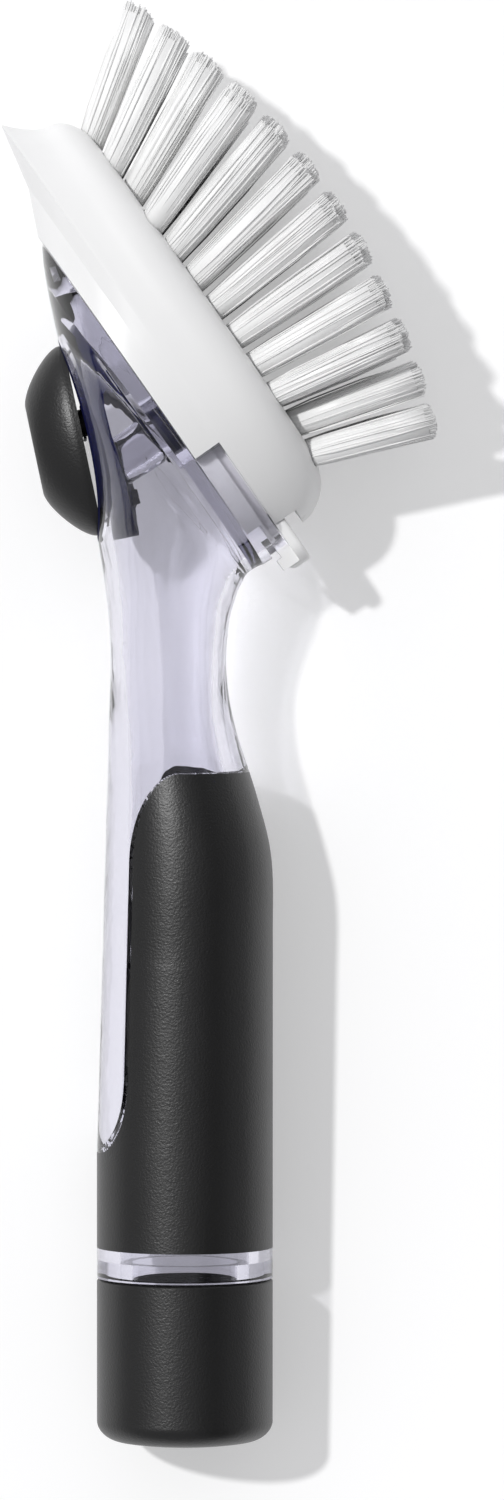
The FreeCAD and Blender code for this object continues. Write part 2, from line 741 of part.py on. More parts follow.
def button_core():
    """Stiff plate inside the button, with a post that centres the spring."""
    corners = button_pocket_corners(SEAT_GAP, CORE_THICKNESS - BUTTON_SKIRT)
    corners.append(Vector(0, 0, -BUTTON_SKIRT))
    plate = turned_oval([line(corners[k - 1], corners[k]) for k in range(len(corners))])
    post_radius = SPRING_RADIUS - SPRING_WIRE / 2 - SLIDE_GAP
    post_span = (-BUTTON_SKIRT - POST_LENGTH, -BUTTON_SKIRT)
    return only_solid(plate.fuse(rod(button_frame(), SPRING_U, 0, post_span, post_radius)))


def cap_shell():
    """Soft outside of the screw cap, with a gently domed end."""
    flat = GRIP_RADIUS - CAP_EDGE_ROUND
    dome_end = Vector(flat, CAP_DOME, 0)
    slope = 2 * CAP_DOME / flat
    side_start = Vector(GRIP_RADIUS, CAP_DOME + CAP_EDGE_ROUND, 0)
    corner = Vector(GRIP_RADIUS, CAP_DOME + slope * CAP_EDGE_ROUND, 0)
    side_end = Vector(GRIP_RADIUS, CAP_HEIGHT - CAP_LIP_CHAMFER, 0)
    lip = Vector(GRIP_RADIUS - CAP_LIP_CHAMFER, CAP_HEIGHT, 0)
    inner_top = Vector(CORE_RADIUS, CAP_HEIGHT, 0)
    inner_low = Vector(CORE_RADIUS, CAP_FLOOR, 0)
    centre = Vector(0, CAP_FLOOR, 0)
    edges = [
        Part.Arc(Vector(0, 0, 0), Vector(flat / 2, CAP_DOME / 4, 0), dome_end).toShape(),
        quarter(dome_end, corner, side_start),
        line(side_start, side_end),
        line(side_end, lip),
        line(lip, inner_top),
        line(inner_top, inner_low),
        line(inner_low, centre),
        line(centre, Vector(0, 0, 0)),
    ]
    face = Part.Face(Part.Wire(edges))
    return only_solid(face.revolve(Vector(0, 0, 0), Vector(0, 1, 0), 360))


def cap_core():
    """Threaded liner of the cap, with a shelf for the gasket and a cup below it."""
    axis = Vector(0, 1, 0)
    top = CAP_HEIGHT - CORE_RECESS
    shelf = SPIGOT_END_Y - GASKET_THICKNESS
    body = Part.makeCylinder(CORE_RADIUS - SEAT_GAP, top - CAP_FLOOR, Vector(0, CAP_FLOOR, 0), axis)
    body = body.cut(Part.makeCylinder(CAP_BORE, top - shelf, Vector(0, shelf, 0), axis))
    cup_floor = CAP_FLOOR + CORE_FLOOR
    body = body.cut(Part.makeCylinder(MOUTH_RADIUS, top - cup_floor, Vector(0, cup_floor, 0), axis))
    crest = SPIGOT_RADIUS + SLIDE_GAP
    start_y = SPIGOT_END_Y + THREAD_START + THREAD_PITCH / 2
    return only_solid(body.fuse(helical_thread(CAP_BORE + THREAD_SINK, crest, start_y)))


def cap_gasket():
    """Flat seal between the spigot's end and the cap's shelf."""
    return only_solid(
        ring(MOUTH_RADIUS, CAP_BORE - SLIDE_GAP, (SPIGOT_END_Y - GASKET_THICKNESS, SPIGOT_END_Y))
    )


def block_outline(toe_s, heel_s, half_width, n):
    """Egg-shaped outline of the brush block at a level n, in deck coordinates."""
    points = []
    for k in range(OUTLINE_POINTS):
        turn = 2 * math.pi * k / OUTLINE_POINTS
        end = heel_s if math.cos(turn) > 0 else toe_s
        s = BLOCK_CENTRE_S + abs(end - BLOCK_CENTRE_S) * math.cos(turn)
        points.append(Vector(s, half_width * math.sin(turn), n))
    return closed_curve(points)


def rounding(n, start_n, depth):
    """How far a rounded rim has drawn in at a level n."""
    share = min(max((n - start_n) / (FACE_N - start_n), 0.0), 1.0)
    return depth * (1.0 - math.sqrt(1.0 - share * share))


def block_body():
    """Outside of the brush block: undercut toe, flared lip, waisted sides, rounded rim and flat face."""
    waist = BLOCK_HALF_WIDTH - BLOCK_WAIST
    low = [
        block_outline(KEEL_TOE_S, BLOCK_HEEL_S, BLOCK_HALF_WIDTH, BLOCK_GAP),
        block_outline(LIP_ROOT_S, BLOCK_HEEL_S, waist, LIP_ROOT_N),
        block_outline(LIP_TIP_S, BLOCK_HEEL_S, waist, LIP_TIP_N),
    ]
    rise = FACE_N - RIM_N
    levels = spread(LIP_TIP_N, RIM_N, FLARE_SECTIONS)
    levels += [RIM_N + rise * math.sin(math.radians(turn)) for turn in RIM_SECTION_TURNS]
    high = []
    for n in levels:
        below_rim = max(1.0 - (n - LIP_TIP_N) / (RIM_N - LIP_TIP_N), 0.0)
        flare = below_rim**FLARE_POWER
        toe = BLOCK_TOE_S + flare * (LIP_TIP_S - BLOCK_TOE_S) + rounding(n, RIM_N, RIM_TOE_ROUND)
        heel = BLOCK_HEEL_S - rounding(n, HEEL_ROUND_N, RIM_HEEL_ROUND)
        half_width = BLOCK_HALF_WIDTH - below_rim * BLOCK_WAIST - rounding(n, RIM_N, RIM_SIDE_ROUND)
        high.append(block_outline(toe, heel, half_width, n))
    return Part.makeLoft(low, True, True).fuse(Part.makeLoft(high, True, False))


def tufts():
    """Base point, direction and row of each tuft, in deck coordinates."""
    found = []
    heel_reach = DECK_LENGTH - TUFT_FIELD_HEEL_INSET - BLOCK_CENTRE_S
    toe_reach = BLOCK_CENTRE_S - TUFT_FIELD_TOE_S
    for column in range(TUFT_COLUMNS):
        s = TUFT_FIRST_S + column * TUFT_PITCH
        reach = heel_reach if s > BLOCK_CENTRE_S else toe_reach
        fan = FAN_TOE - (FAN_TOE + FAN_HEEL) * (s - TUFT_FIRST_S) / (TUFT_LAST_S - TUFT_FIRST_S)
        for row in range(TUFT_ROWS):
            place_in_row = row - (TUFT_ROWS - 1) / 2
            across = place_in_row * TUFT_ROW_PITCH
            if ((s - BLOCK_CENTRE_S) / reach) ** 2 + (across / TUFT_FIELD_SIDE) ** 2 > 1.0:
                continue
            if place_in_row == 0 and column == PORT_COLUMN:
                continue
            lean = math.radians(ROW_LEAN * place_in_row)
            direction = Vector(-math.tan(math.radians(fan)), math.tan(lean), 1).normalize()
            found.append((Vector(s, across, FACE_N), direction, row))
    return found


def brush_block():
    """White head: a tray over the deck, with tuft holes, soap hole, tab slot and lugs."""
    local = Placement()
    body = block_body()
    tray = oval(
        Vector(BLOCK_CENTRE_S, 0, 0), Vector(TRAY_HALF_LENGTH, 0, 0), Vector(0, TRAY_HALF_WIDTH, 0)
    )
    body = body.cut(prism(tray, Vector(0, 0, TRAY_DEPTH_N)))

    def rail_space(inset, n_low, n_high):
        start = EAR_START - SLIDE_GAP
        space = box(local, (start, REACH), (-REACH, REACH), (n_low, n_high))
        kept = oval(
            Vector(DECK_LENGTH / 2, 0, n_low),
            Vector(DECK_LENGTH / 2 - inset, 0, 0),
            Vector(0, DECK_HALF_WIDTH - inset, 0),
        )
        return space.cut(prism(kept, Vector(0, 0, n_high - n_low)))

    top = EAR_HEIGHT + SLIDE_GAP
    body = body.cut(rail_space(EAR_WALL + SLIDE_GAP, -REACH, top))
    lip_low = EAR_HEIGHT - EAR_LIP_HEIGHT - SLIDE_GAP
    body = body.cut(rail_space(EAR_WALL + EAR_LIP + SLIDE_GAP, lip_low, top))

    slot_half = TAB_HALF_WIDTH + TAB_SIDE_GAP
    lift = (TAB_TIP_S - TAB_PIVOT_S) * math.sin(math.radians(TAB_LIFT))
    slot_top = TAB_TOP_N + lift + SLIDE_GAP
    body = body.cut(box(local, (TAB_PIVOT_S, REACH), (-slot_half, slot_half), (-REACH, slot_top)))
    paddle_half = TAB_PADDLE_HALF_WIDTH + TAB_SIDE_GAP
    paddle_start = TAB_PADDLE_S - SLIDE_GAP
    body = body.cut(box(local, (paddle_start, REACH), (-paddle_half, paddle_half), (EAR_HEIGHT, slot_top)))
    tongue_clear = TONGUE_TOP + SLIDE_GAP
    corridor = TONGUE_OUTER + SLIDE_GAP
    body = body.cut(box(local, (BLOCK_CENTRE_S, REACH), (-corridor, corridor), (-REACH, tongue_clear)))
    hook_start = TONGUE_POST_START - TONGUE_REACH
    for side in (-1, 1):
        width = sorted((side * (TONGUE_INNER - SLIDE_GAP), side * (TONGUE_OUTER + SLIDE_GAP)))
        s_span = (hook_start - SLIDE_GAP, BLOCK_CENTRE_S)
        body = body.cut(box(local, s_span, width, (TONGUE_UNDER - SLIDE_GAP, tongue_clear)))
        post_span = (TONGUE_POST_START - SLIDE_GAP, BLOCK_CENTRE_S)
        body = body.cut(box(local, post_span, width, (-REACH, tongue_clear)))

    collar = rod(local, PORT_S, 0, (COLLAR_FOOT_N, TRAY_DEPTH_N), PORT_RADIUS + COLLAR_WALL)
    body = body.fuse(collar).cut(rod(local, PORT_S, 0, (-REACH, REACH), PORT_RADIUS))
    for side in (-1, 1):
        lug_start = TAB_HALF_WIDTH + TAB_SIDE_GAP
        width = sorted((side * lug_start, side * (lug_start + LUG_THICKNESS)))
        lug_foot = TAB_PIVOT_N - LUG_RADIUS
        s_span = (TAB_PIVOT_S - LUG_RADIUS, TAB_PIVOT_S + LUG_RADIUS)
        body = body.fuse(box(local, s_span, width, (lug_foot, TRAY_DEPTH_N)))
    body = body.cut(tab_pivot(local, TAB_PIVOT_RADIUS + SEAT_GAP, lug_start + LUG_THICKNESS + SEAT_GAP))
    holes = []
    for base, direction, _ in tufts():
        start = base - direction * TUFT_ROOT_DEPTH
        holes.append(Part.makeCylinder(TUFT_HOLE_RADIUS, 2 * TUFT_ROOT_DEPTH, start, direction))
    return place(only_solid(body.cut(holes)), deck_frame())


def tab_pivot(frame, radius, half_length):
    """Trunnion of the release tab, across the head."""
    start = Vector(TAB_PIVOT_S, -half_length, TAB_PIVOT_N)
    return place(Part.makeCylinder(radius, 2 * half_length, start, Vector(0, 1, 0)), frame)


def tab_paddle(frame):
    """Wide end of the release tab, above the ear, with rounded corners and a rounded top edge."""
    half = (-TAB_PADDLE_HALF_WIDTH, TAB_PADDLE_HALF_WIDTH)
    body = box(frame, (TAB_PADDLE_S, TAB_TIP_S), half, (EAR_HEIGHT + SLIDE_GAP, TAB_TOP_N))
    corners = [
        edge
        for edge in body.Edges
        if edge.BoundBox.XMin > TAB_TIP_S - SEAT_GAP and edge.BoundBox.YLength < SEAT_GAP
    ]
    body = body.makeFillet(TAB_PADDLE_CORNER, corners)
    top = [edge for edge in body.Edges if edge.BoundBox.ZMin > TAB_TOP_N - SEAT_GAP]
    return body.makeFillet(TAB_PADDLE_EDGE, top)


def release_tab():
    """Lever at the heel with two trunnions, a tooth, a rounded tip and a wide paddle."""
    local = Placement()
    half = (-TAB_HALF_WIDTH, TAB_HALF_WIDTH)
    lever = box(local, (TAB_PIVOT_S - TAB_TAIL, TAB_TIP_S), half, (TAB_UNDER_N, TAB_TOP_N))
    tooth_end = TAB_TOOTH_S + TAB_TOOTH_LENGTH
    tooth = box(local, (TAB_TOOTH_S, tooth_end), half, (TAB_UNDER_N - TAB_TOOTH_DEPTH, TAB_TOP_N))
    tip_edges = [
        edge
        for edge in lever.Edges
        if all(abs(vertex.X - TAB_TIP_S) < SEAT_GAP for vertex in edge.Vertexes)
    ]
    lever = lever.makeFillet(TAB_TIP_ROUND, tip_edges)
    pivot_half = TAB_HALF_WIDTH + TAB_SIDE_GAP + LUG_THICKNESS
    trunnions = tab_pivot(local, TAB_PIVOT_RADIUS, pivot_half)
    body = lever.fuse([tooth, trunnions, tab_paddle(local)])
    return place(only_solid(body), deck_frame())


def tip_of(base, direction):
    """Where a tuft meets the crowned surface that the tips are trimmed to, and its normal there."""
    point = base
    for _ in range(TIP_STEPS):
        sag = (point.x - TIP_ARC_S) ** 2 / (2 * TIP_ARC_RADIUS)
        crown = point.y**2 / (2 * TIP_CROWN_RADIUS)
        point = base + direction * ((TIP_ARC_N - sag - crown - base.z) / direction.z)
    slope = Vector((point.x - TIP_ARC_S) / TIP_ARC_RADIUS, point.y / TIP_CROWN_RADIUS, 1)
    return point, slope.normalize()


def anchor(base, direction):
    """Flat metal anchor across the root of one tuft, in deck coordinates."""
    side = direction.cross(Vector(0, 1, 0)).normalize()
    root = base - direction * (TUFT_ROOT_DEPTH - ANCHOR_LIFT)
    half_long = ANCHOR_LENGTH / 2
    half_thick = ANCHOR_THICKNESS / 2
    spans = ((-half_thick, half_thick), (-half_long, half_long), (0, ANCHOR_WIDTH))
    return box(frame_at(root, side, direction), *spans)


def tuft(base, direction):
    """One tuft from its root in the block to its trimmed tip, in deck coordinates."""
    tip, normal = tip_of(base, direction)
    root = base - direction * TUFT_ROOT_DEPTH
    length = (tip - root).Length + TUFT_TIP_RADIUS
    body = Part.makeCone(TUFT_ROOT_RADIUS, TUFT_TIP_RADIUS, length, root, direction)
    across = Vector(0, 1, 0).cross(normal).normalize()
    wide = (-TUFT_PITCH, TUFT_PITCH)
    waste = box(frame_at(tip, across, normal), wide, wide, (0, TUFT_PITCH))
    return body.cut(waste)


def bristles():
    """Tuft rows and tuft anchors, each a group of separate solids."""
    rows = [[] for _ in range(TUFT_ROWS)]
    anchors = []
    for base, direction, row in tufts():
        pin = anchor(base, direction)
        rows[row].append(only_solid(tuft(base, direction).cut(pin)))
        anchors.append(only_solid(pin))
    deck = deck_frame()
    nodes = {f"tuft_row_{k + 1}": place(Part.makeCompound(row), deck) for k, row in enumerate(rows)}
    nodes["tuft_anchors"] = place(Part.makeCompound(anchors), deck)
    return nodes


def build_nodes():
    """Every piece by name, upright in the drawing frame."""
    outside = envelope()
    sleeve_space = grip_cutter()
    nodes = {
        "handle_shell": handle_shell(outside, sleeve_space),
        "head_deck": head_deck(outside),
        "grip_sleeve": grip_sleeve(outside, sleeve_space),
        "pump_cup": pump_cup(outside),
        "return_spring": return_spring(),
        "inlet_flap": inlet_flap(),
        "outlet_valve": outlet_valve(),
        "valve_retainer": valve_retainer(),
        "button_cap": button_cap(),
        "button_core": button_core(),
        "cap_shell": cap_shell(),
        "cap_core": cap_core(),
        "cap_gasket": cap_gasket(),
        "brush_block": brush_block(),
        "release_tab": release_tab(),
    }
    nodes.update(bristles())
    return nodes


def resting_placement(nodes):
    """Turn about n that sets cap edge and head side on the floor, and shift to the footprint's middle."""
    deck = deck_frame()
    along = deck.Rotation.multVec(Vector(1, 0, 0))
    out = deck.Rotation.multVec(Vector(0, 0, 1))
    side = deck.multVec(Vector(BLOCK_CENTRE_S, 0, BLOCK_GAP))
    run = along.dot(Vector(0, CAP_DOME + CAP_EDGE_ROUND, 0) - side)
    rise = BLOCK_HALF_WIDTH - GRIP_RADIUS
    for _ in range(RESTING_STEPS):
        turned = Placement(Vector(0, 0, 0), Rotation(out, math.degrees(math.asin(rise / run))))
        cap, head = (
            place(nodes[name], turned).optimalBoundingBox(False, False).ZMin
            for name in ("cap_shell", "brush_block")
        )
        rise += cap - head
    whole = Part.makeCompound([place(shape, turned) for shape in nodes.values()])
    limits = whole.optimalBoundingBox(False, False)
    middle = Vector((limits.XMin + limits.XMax) / 2, (limits.YMin + limits.YMax) / 2, limits.ZMin)
    return Placement(middle * -1, Rotation()).multiply(turned)


def main():
    """Build every piece, lay it down and write it."""
    os.makedirs("parts", exist_ok=True)
    nodes = build_nodes()
    resting = resting_placement(nodes)
    for name, shape in nodes.items():
        laid = place(shape, resting)
        laid.exportStep(os.path.join("parts", name + ".step"))
        print(name, len(laid.Solids), "solids", round(laid.Volume, 1), "mm3", laid.isValid())


main()
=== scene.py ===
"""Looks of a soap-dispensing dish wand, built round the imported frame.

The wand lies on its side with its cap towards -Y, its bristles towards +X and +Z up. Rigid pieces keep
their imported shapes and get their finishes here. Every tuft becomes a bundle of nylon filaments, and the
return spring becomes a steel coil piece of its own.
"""

import json
import logging
import math
import random
from dataclasses import dataclass, field
from enum import Enum
from typing import Any, Iterable

import bmesh
import bpy
import numpy as np
from mathutils import Matrix, Vector


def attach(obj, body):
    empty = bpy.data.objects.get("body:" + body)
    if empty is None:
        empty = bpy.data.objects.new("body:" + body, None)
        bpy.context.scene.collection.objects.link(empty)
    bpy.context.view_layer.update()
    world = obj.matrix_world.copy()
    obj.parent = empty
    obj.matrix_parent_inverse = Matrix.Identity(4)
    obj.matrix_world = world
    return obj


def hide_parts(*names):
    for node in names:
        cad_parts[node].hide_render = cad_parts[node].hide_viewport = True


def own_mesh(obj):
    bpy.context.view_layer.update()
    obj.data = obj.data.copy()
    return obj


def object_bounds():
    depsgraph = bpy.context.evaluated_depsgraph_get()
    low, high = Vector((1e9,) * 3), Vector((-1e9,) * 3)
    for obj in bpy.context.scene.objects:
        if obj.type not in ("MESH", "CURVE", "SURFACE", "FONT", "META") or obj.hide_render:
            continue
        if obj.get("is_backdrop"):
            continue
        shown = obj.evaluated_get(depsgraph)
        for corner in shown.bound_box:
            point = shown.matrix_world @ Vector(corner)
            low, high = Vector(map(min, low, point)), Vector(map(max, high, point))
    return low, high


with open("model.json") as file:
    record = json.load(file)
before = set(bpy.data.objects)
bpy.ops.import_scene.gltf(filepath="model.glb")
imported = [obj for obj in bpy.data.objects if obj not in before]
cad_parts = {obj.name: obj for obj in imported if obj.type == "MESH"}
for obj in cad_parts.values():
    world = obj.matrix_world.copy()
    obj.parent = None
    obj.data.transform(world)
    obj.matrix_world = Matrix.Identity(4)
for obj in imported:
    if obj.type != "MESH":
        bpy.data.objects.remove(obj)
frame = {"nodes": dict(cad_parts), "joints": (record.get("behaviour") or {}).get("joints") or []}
CAD_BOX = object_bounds()

LOG = logging.getLogger("dish_wand")
MILLIMETRE = 0.001
END_FACING = 0.7
BOW_PEAK = 4.0
Colour = tuple[float, float, float, float]


class Channel(Enum):
    """Surface inputs that may vary over a piece."""

    COLOUR = "Base Color"
    ROUGHNESS = "Roughness"
    NORMAL = "Normal"


class Value:
    """A socket of a node tree with the arithmetic that the finishes use."""

    def __init__(self, graph: "Graph", socket: bpy.types.NodeSocket) -> None:
        """Keep the socket and the graph that it belongs to."""
        self.graph = graph
        self.socket = socket

    def _math(self, operation: str, first: Any, second: Any) -> "Value":
        """Add one Math node.

        Args:
            operation: Name of the Math node's operation.
            first: Value or number of the first input.
            second: Value or number of the second input.

        Returns:
            The result's socket.
        """
        return self.graph.add("ShaderNodeMath", {"operation": operation}, {0: first, 1: second})

    def __add__(self, other: Any) -> "Value":
        """Sum."""
        return self._math("ADD", self, other)

    def __radd__(self, other: Any) -> "Value":
        """Sum with a number on the left."""
        return self._math("ADD", other, self)

    def __sub__(self, other: Any) -> "Value":
        """Difference."""
        return self._math("SUBTRACT", self, other)

    def __rsub__(self, other: Any) -> "Value":
        """Difference from a number on the left."""
        return self._math("SUBTRACT", other, self)

    def __mul__(self, other: Any) -> "Value":
        """Product."""
        return self._math("MULTIPLY", self, other)

    def __rmul__(self, other: Any) -> "Value":
        """Product with a number on the left."""
        return self._math("MULTIPLY", other, self)


class Graph:
    """A node tree that is filled by expressions."""

    def __init__(self, tree: bpy.types.NodeTree) -> None:
        """Empty the tree and keep it."""
        self.tree = tree
        self.tree.nodes.clear()

    def make(self, kind: str, settings: dict[str, Any], inputs: dict[Any, Any]) -> bpy.types.Node:
        """Add a node, set it up and feed its sockets.

        Args:
            kind: The node's type.
            settings: Properties of the node, set before its sockets are fed.
            inputs: Values, links or numbers by socket name or index.

        Returns:
            The new node.
        """
        node = self.tree.nodes.new(kind)
        for name, setting in settings.items():
            if name == "stops":
                self._set_stops(node, setting)
            else:
                setattr(node, name, setting)
        for name, given in inputs.items():
            if isinstance(given, Value):
                self.tree.links.new(given.socket, node.inputs[name])
            else:
                node.inputs[name].default_value = given
        return node

    def add(self, kind: str, settings: dict[str, Any], inputs: dict[Any, Any], out: Any = 0) -> Value:
        """Add a node and return one of its outputs.

        Args:
            kind: The node's type.
            settings: Properties of the node.
            inputs: Values, links or numbers by socket name or index.
            out: Name or index of the output.

        Returns:
            That output.
        """
        return Value(self, self.make(kind, settings, inputs).outputs[out])

    def place(self) -> Value:
        """Object coordinates of the shaded point."""
        return self.add("ShaderNodeTexCoord", {}, {}, "Object")

    def noise(self, size: float, detail: float = 2.0, roughness: float = 0.5) -> Value:
        """Noise on object coordinates.

        Args:
            size: Size of a feature, in metres.
            detail: Number of finer layers.
            roughness: Share of each finer layer.

        Returns:
            The noise value, from 0 to 1.
        """
        inputs = {"Vector": self.place(), "Scale": 1.0 / size, "Detail": detail, "Roughness": roughness}
        return self.add("ShaderNodeTexNoise", {}, inputs, 0)

    def step(self, value: Value, edge: tuple[float, float]) -> Value:
        """Smooth step between two values.

        Args:
            value: The value that is compared.
            edge: Values at which the step starts and ends.

        Returns:
            0 before the edge, 1 after it.
        """
        inputs = {0: value, 1: edge[0], 2: edge[1], 3: 0.0, 4: 1.0}
        return self.add("ShaderNodeMapRange", {"interpolation_type": "SMOOTHSTEP"}, inputs)

    def mix_colour(self, share: Value, first: Colour, second: Colour) -> Value:
        """Blend two colours by a value.

        Args:
            share: Share of the second colour.
            first: Colour at 0.
            second: Colour at 1.

        Returns:
            The blended colour.
        """
        stops = [(0.0, first), (1.0, second)]
        return self.add("ShaderNodeValToRGB", {"stops": stops}, {0: share}, "Color")

    @staticmethod
    def _set_stops(node: bpy.types.Node, stops: list[tuple[float, Colour]]) -> None:
        """Give a colour ramp its stops."""
        ramp = node.color_ramp
        while len(ramp.elements) < len(stops):
            ramp.elements.new(1.0)
        for element, (position, colour) in zip(ramp.elements, stops):
            element.position = position
            element.color = colour


def new_material(name: str) -> tuple[bpy.types.Material, Graph]:
    """Start a material with an empty node tree.

    Args:
        name: The material's name.

    Returns:
        The material and its graph.
    """
    material = bpy.data.materials.new(name)
    material.use_nodes = True
    return material, Graph(material.node_tree)


def grey(level: float) -> Colour:
    """Neutral colour of one level."""
    return (level, level, level, 1.0)


@dataclass(frozen=True)
class MouldedFinish:
    """Opaque moulded plastic or rubber with a fine grain."""

    name: str
    low: Colour
    high: Colour
    roughness: float
    roughness_swing: float
    specular: float
    grain: float
    grain_depth: float
    cloud: float = 18 * MILLIMETRE
    cloud_detail: float = 3.0
    grain_detail: float = 2.0
    grain_share: float = 0.6
    metallic: float = 0.0

    def material(self) -> bpy.types.Material:
        """Build the material.

        Returns:
            The material, with cloudy colour, uneven gloss and a fine bump.
        """
        material, graph = new_material(self.name)
        cloud = graph.noise(self.cloud, self.cloud_detail)
        grain = graph.noise(self.grain, self.grain_detail, self.grain_share)
        bump = graph.add(
            "ShaderNodeBump", {}, {"Strength": 1.0, "Distance": self.grain_depth, "Height": grain}
        )
        inputs = {
            Channel.COLOUR.value: graph.mix_colour(cloud, self.low, self.high),
            Channel.ROUGHNESS.value: self.roughness + (cloud - 0.5) * self.roughness_swing,
            Channel.NORMAL.value: bump,
            "Specular IOR Level": self.specular,
            "Metallic": self.metallic,
        }
        surface = graph.add("ShaderNodeBsdfPrincipled", {}, inputs)
        graph.make("ShaderNodeOutputMaterial", {}, {"Surface": surface})
        return material


@dataclass(frozen=True)
class ClearFinish:
    """Clear moulded plastic that tints what is seen through its thickness."""

    name: str
    skin: Colour
    tint: Colour
    density: float
    index: float = 1.5
    roughness: float = 0.015
    ripple: float = 9 * MILLIMETRE
    ripple_detail: float = 1.0
    ripple_depth: float = 0.05 * MILLIMETRE
    shadow_pass: float = 0.68

    def material(self) -> bpy.types.Material:
        """Build the material.

        Returns:
            The material: a refracting surface round a tinted body, which lets part of the light through
            in its shadow.
        """
        material, graph = new_material(self.name)
        ripple = graph.noise(self.ripple, self.ripple_detail)
        bump = graph.add(
            "ShaderNodeBump", {}, {"Strength": 1.0, "Distance": self.ripple_depth, "Height": ripple}
        )
        inputs = {
            Channel.COLOUR.value: self.skin,
            Channel.ROUGHNESS.value: self.roughness,
            Channel.NORMAL.value: bump,
            "IOR": self.index,
            "Transmission Weight": 1.0,
        }
        body = graph.add("ShaderNodeBsdfPrincipled", {}, inputs)
        shadow = graph.add("ShaderNodeLightPath", {}, {}, "Is Shadow Ray") * self.shadow_pass
        passing = graph.add("ShaderNodeBsdfTransparent", {}, {"Color": grey(1.0)})
        surface = graph.add("ShaderNodeMixShader", {}, {0: shadow, 1: body, 2: passing})
        volume = graph.add(
            "ShaderNodeVolumeAbsorption", {}, {"Color": self.tint, "Density": self.density}
        )
        graph.make("ShaderNodeOutputMaterial", {}, {"Surface": surface, "Volume": volume})
        return material


class Finish(Enum):
    """Finishes of the wand's pieces."""

    CLEAR = ClearFinish("clear_plastic", (0.885, 0.88, 0.93, 1.0), (0.60, 0.59, 0.73, 1.0), 29.0)
    SOFT_BLACK = MouldedFinish(
        "soft_black",
        grey(0.0035),
        grey(0.0060),
        roughness=0.38,
        roughness_swing=0.07,
        specular=0.56,
        grain=0.42 * MILLIMETRE,
        grain_depth=0.06 * MILLIMETRE,
    )
    WHITE = MouldedFinish(
        "white_plastic",
        (0.84, 0.84, 0.835, 1.0),
        (0.88, 0.88, 0.875, 1.0),
        roughness=0.36,
        roughness_swing=0.08,
        specular=0.5,
        grain=0.6 * MILLIMETRE,
        grain_depth=0.004 * MILLIMETRE,
    )
    NYLON = MouldedFinish(
        "bristle_nylon",
        (0.91, 0.91, 0.90, 1.0),
        (0.96, 0.96, 0.955, 1.0),
        roughness=0.38,
        roughness_swing=0.10,
        specular=0.5,
        grain=0.5 * MILLIMETRE,
        grain_depth=0.002 * MILLIMETRE,
        cloud=3 * MILLIMETRE,
    )
    NAVY = MouldedFinish(
        "dark_plastic",
        (0.004, 0.005, 0.032, 1.0),
        (0.007, 0.008, 0.046, 1.0),
        roughness=0.5,
        roughness_swing=0.08,
        specular=0.06,
        grain=0.5 * MILLIMETRE,
        grain_depth=0.004 * MILLIMETRE,
    )
    BLACK = MouldedFinish(
        "black_plastic",
        grey(0.012),
        grey(0.018),
        roughness=0.45,
        roughness_swing=0.08,
        specular=0.4,
        grain=0.4 * MILLIMETRE,
        grain_depth=0.01 * MILLIMETRE,
    )
    SEAL = MouldedFinish(
        "seal_rubber",
        (0.016, 0.017, 0.034, 1.0),
        (0.024, 0.025, 0.046, 1.0),
        roughness=0.55,
        roughness_swing=0.1,
        specular=0.35,
        grain=0.3 * MILLIMETRE,
        grain_depth=0.01 * MILLIMETRE,
    )
    STEEL = MouldedFinish(
        "steel",
        grey(0.50),
        grey(0.62),
        roughness=0.28,
        roughness_swing=0.12,
        specular=0.5,
        grain=0.12 * MILLIMETRE,
        grain_depth=0.004 * MILLIMETRE,
        cloud=2 * MILLIMETRE,
        metallic=1.0,
    )

    def material(self) -> bpy.types.Material:
        """The finish's material, made once."""
        found = bpy.data.materials.get(self.value.name + "_finish")
        if found is None:
            found = self.value.material()
            found.name = self.value.name + "_finish"
        return found


def dress(node: str, finish: Finish) -> None:
    """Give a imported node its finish.

    Args:
        node: Name of the node.
        finish: The finish that it gets.
    """
    mesh = frame["nodes"][node].data
    mesh.materials.clear()
    mesh.materials.append(finish.material())
    LOG.info("%s dressed as %s", node, finish.name)


def add_piece(name: str, bm: bmesh.types.BMesh, finish: Finish, body: str) -> bpy.types.Object:
    """Turn a bmesh into a piece of the wand.

    Args:
        name: Name of the piece.
        bm: The shape, in the frame's metres. It is freed.
        finish: The finish that it gets.
        body: Body that it moves with.

    Returns:
        The new object.
    """
    mesh = bpy.data.meshes.new(name)
    bm.to_mesh(mesh)
    bm.free()
    mesh.materials.append(finish.material())
    piece = bpy.data.objects.new(name, mesh)
    bpy.context.scene.collection.objects.link(piece)
    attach(piece, body)
    LOG.info("%s built with %d faces", name, len(mesh.polygons))
    return piece


@dataclass
class Handle:
    """Clear handle with its grip, pump and valve pieces."""

    clear: tuple[str, ...] = ("handle_shell", "head_deck")
    soft: tuple[str, ...] = ("grip_sleeve",)
    dark: tuple[str, ...] = ("pump_cup",)
    seals: tuple[str, ...] = ("inlet_flap", "outlet_valve")

    def build(self) -> None:
        """Dress every piece of the handle."""
        for names, finish in (
            (self.clear, Finish.CLEAR),
            (self.soft, Finish.SOFT_BLACK),
            (self.dark, Finish.NAVY),
            (self.seals, Finish.SEAL),
        ):
            for name in names:
                dress(name, finish)
        dress("valve_retainer", Finish.NAVY)


